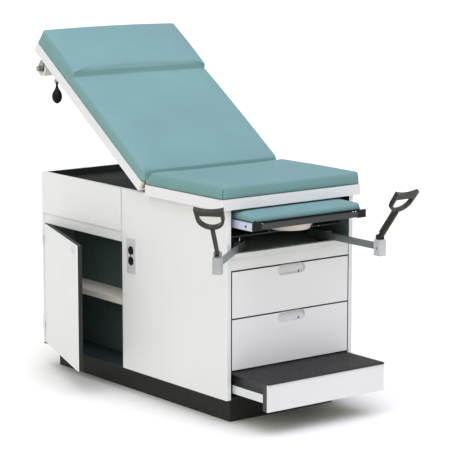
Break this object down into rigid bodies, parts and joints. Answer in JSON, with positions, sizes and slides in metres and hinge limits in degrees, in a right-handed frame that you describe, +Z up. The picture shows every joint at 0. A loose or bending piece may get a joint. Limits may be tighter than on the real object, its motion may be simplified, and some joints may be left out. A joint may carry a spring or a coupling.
{
  "type": "examination table",
  "caption": "Steel examination table with padded seat, raising back, pull-out leg rest, step, drawers, side cupboard, stirrups and paper roll.",
  "frame": {"origin": "on the floor, under the middle of the cabinet", "axes": "+Z up, +Y towards the head end, -X towards the door side"},
  "size_m": [0.9402, 1.6489, 1.3465],
  "materials": {
    "white_enamel": "satin",
    "dark_board": "matte",
    "dark_enamel": "satin",
    "teal_vinyl": "satin",
    "chrome": "polished",
    "bright_steel": "satin",
    "cast_aluminium": "satin",
    "hinge_brass": "satin",
    "tread_rubber": "matte",
    "black_plastic": "satin",
    "pull_plastic": "satin",
    "cream_enamel": "satin",
    "basin_plastic": "satin",
    "drawer_plastic": "matte",
    "paper": "matte"
  },
  "bodies": {
    "cabinet": {"base_plinth": "dark_enamel", "cabinet_floor": "dark_board", "near_panel": "white_enamel", "near_apron": "white_enamel", "far_panel": "white_enamel", "head_panel": "white_enamel", "front_apron": "white_enamel", "bay_floor": "dark_board", "partition": "dark_board", "liner_wall": "dark_board", "shelf": "cream_enamel", "top_deck": "dark_board", "outlet_plate": "bright_steel", "receptacles": "black_plastic", "outlet_box": "bright_steel", "seat_pan": "white_enamel", "seat_cushion": "teal_vinyl", "seat_hinge_leaves": "hinge_brass", "back_hinge_pins": "hinge_brass", "slide_channels": "bright_steel", "treatment_pan_shelf": "dark_enamel", "stirrup_pivots": "dark_enamel", "door_hinge_fixed": "bright_steel"},
    "backrest": {"back_pan": "white_enamel", "back_cushion": "teal_vinyl", "back_hinge_leaves": "hinge_brass", "back_brackets": "chrome"},
    "paper": {"roll_spindle": "chrome", "paper_roll": "paper"},
    "handle": {"release_handle": "black_plastic"},
    "door": {"door_skin": "white_enamel", "door_core": "dark_board", "door_pull": "chrome", "door_hinge_moving": "bright_steel"},
    "upper_drawer": {"upper_drawer_front": "white_enamel", "upper_drawer_pull": "pull_plastic", "upper_drawer_box": "drawer_plastic", "upper_drawer_runners": "bright_steel"},
    "lower_drawer": {"lower_drawer_front": "white_enamel", "lower_drawer_pull": "pull_plastic", "lower_drawer_box": "drawer_plastic", "lower_drawer_runners": "bright_steel"},
    "step": {"step_front": "white_enamel", "step_frame": "dark_enamel", "step_tread": "tread_rubber", "step_runners": "bright_steel"},
    "leg_rest": {"leg_rest_bar": "dark_enamel", "leg_rest_blocks": "black_plastic", "leg_rest_rails": "bright_steel", "leg_rest_board": "dark_enamel", "leg_rest_pad": "teal_vinyl"},
    "treatment_pan": {"treatment_pan": "basin_plastic"},
    "near_swivel": {"near_stirrup_swivel": "dark_enamel"},
    "near_arm": {"near_stirrup_arm": "bright_steel", "near_stirrup_block": "cast_aluminium"},
    "near_foot": {"near_stirrup_foot": "black_plastic"},
    "far_swivel": {"far_stirrup_swivel": "dark_enamel"},
    "far_arm": {"far_stirrup_arm": "bright_steel", "far_stirrup_block": "cast_aluminium"},
    "far_foot": {"far_stirrup_foot": "black_plastic"}
  },
  "joints": [
    {"name": "back_hinge", "type": "hinge", "parent": "cabinet", "child": "backrest", "pos_m": [0, -0.137, 0.836], "axis": [1, 0, 0], "range_deg": [-33.9, 41]},
    {"name": "roll_spin", "type": "hinge", "parent": "backrest", "child": "paper", "pos_m": [0, 0.61137, 1.19431], "axis": [1, 0, 0], "continuous": true},
    {"name": "handle_swing", "type": "hinge", "parent": "backrest", "child": "handle", "pos_m": [-0.316, 0.44703, 1.15918], "axis": [1, 0, 0], "range_deg": [-25, 40]},
    {"name": "door_hinge", "type": "hinge", "parent": "cabinet", "child": "door", "pos_m": [-0.3, 0.59, 0.339], "axis": [0, 0, -1], "range_deg": [-19.5, 90]},
    {"name": "upper_drawer_slide", "type": "slide", "parent": "cabinet", "child": "upper_drawer", "axis": [0, -1, 0], "range_m": [0, 0.4]},
    {"name": "lower_drawer_slide", "type": "slide", "parent": "cabinet", "child": "lower_drawer", "axis": [0, -1, 0], "range_m": [0, 0.4]},
    {"name": "step_slide", "type": "slide", "parent": "cabinet", "child": "step", "axis": [0, -1, 0], "range_m": [-0.206, 0]},
    {"name": "leg_rest_slide", "type": "slide", "parent": "cabinet", "child": "leg_rest", "axis": [0, -1, 0], "range_m": [-0.109, 0.16]},
    {"name": "treatment_pan_slide", "type": "slide", "parent": "cabinet", "child": "treatment_pan", "axis": [0, -1, 0], "range_m": [-0.03, 0.17]},
    {"name": "near_stirrup_swing", "type": "hinge", "parent": "cabinet", "child": "near_swivel", "pos_m": [-0.2, -0.556, 0.62], "axis": [0, 0, -1], "range_deg": [-50, 3]},
    {"name": "near_stirrup_slide", "type": "slide", "parent": "near_swivel", "child": "near_arm", "axis": [-0.766, -0.6428, 0], "range_m": [-0.2, 0.01]},
    {"name": "near_foot_tilt", "type": "hinge", "parent": "near_arm", "child": "near_foot", "pos_m": [-0.47041, -0.7829, 0.676], "axis": [0.6428, -0.766, 0], "range_deg": [-38, 40]},
    {"name": "far_stirrup_swing", "type": "hinge", "parent": "cabinet", "child": "far_swivel", "pos_m": [0.2, -0.556, 0.62], "axis": [0, 0, 1], "range_deg": [0, 53]},
    {"name": "far_stirrup_slide", "type": "slide", "parent": "far_swivel", "child": "far_arm", "axis": [0, -1, 0], "range_m": [-0.15, 0.06]},
    {"name": "far_foot_tilt", "type": "hinge", "parent": "far_arm", "child": "far_foot", "pos_m": [0.2, -0.859, 0.676], "axis": [1, 0, 0], "range_deg": [-38, 40]}
  ]
}
